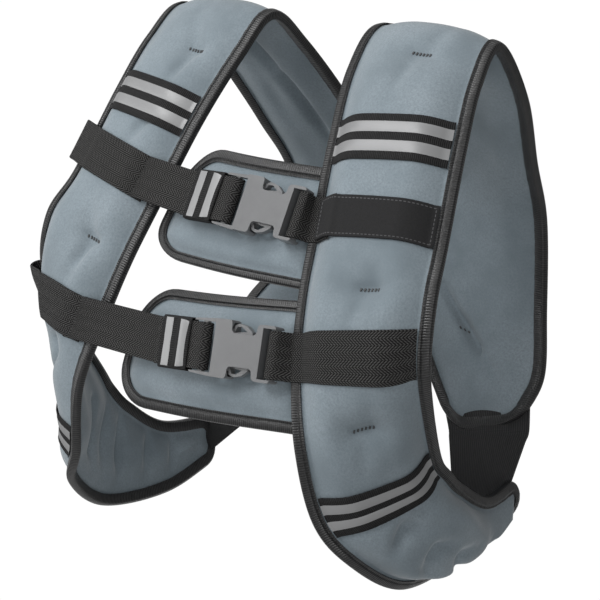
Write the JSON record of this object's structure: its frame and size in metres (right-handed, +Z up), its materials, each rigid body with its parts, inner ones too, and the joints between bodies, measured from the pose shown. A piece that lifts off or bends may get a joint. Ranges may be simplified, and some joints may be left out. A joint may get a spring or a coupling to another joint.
{
  "type": "weighted vest",
  "caption": "Padded weighted vest in its worn shape: two J-shaped shoulder panels that meet at the back, two chest pads, buckled straps, reflective bands and elastics.",
  "frame": {"origin": "on the body's middle plane, at the height and depth of the panels' shoulder crest, where the wearer's shoulders carry the vest", "axes": "+Z up, the wearer faces -Y and the wearer's left is +X"},
  "size_m": [0.4182, 0.3086, 0.445],
  "materials": {
    "neoprene": "matt grey-blue neoprene over soft filled padding",
    "binding": "matt black ribbed tape with a line of stitches",
    "webbing": "charcoal herringbone webbing",
    "stripe": "silver reflective tape",
    "felt": "matt black felt",
    "buckle": "satin dark grey moulded plastic",
    "elastic": "matt black elastic"
  },
  "bodies": {
    "root": {"left_pad": "neoprene", "right_pad": "neoprene", "upper_chest_pad": "neoprene", "lower_chest_pad": "neoprene", "left_binding": "binding", "right_binding": "binding", "upper_chest_binding": "binding", "lower_chest_binding": "binding", "left_upper_band": "webbing", "left_lower_band": "webbing", "right_upper_band": "webbing", "right_lower_band": "webbing", "upper_keeper": "webbing", "lower_keeper": "webbing", "right_upper_strap": "webbing", "right_lower_strap": "webbing", "left_upper_webbing": "webbing", "left_lower_webbing": "webbing", "left_upper_stripe_1": "stripe", "left_upper_stripe_2": "stripe", "left_lower_stripe_1": "stripe", "left_lower_stripe_2": "stripe", "right_upper_stripe_1": "stripe", "right_upper_stripe_2": "stripe", "right_lower_stripe_1": "stripe", "right_lower_stripe_2": "stripe", "upper_keeper_stripe_1": "stripe", "upper_keeper_stripe_2": "stripe", "lower_keeper_stripe_1": "stripe", "lower_keeper_stripe_2": "stripe", "name_patch": "felt", "upper_buckle_female": "buckle", "upper_buckle_male": "buckle", "lower_buckle_female": "buckle", "lower_buckle_male": "buckle", "left_elastic": "elastic", "right_elastic": "elastic"}
  },
  "joints": []
}
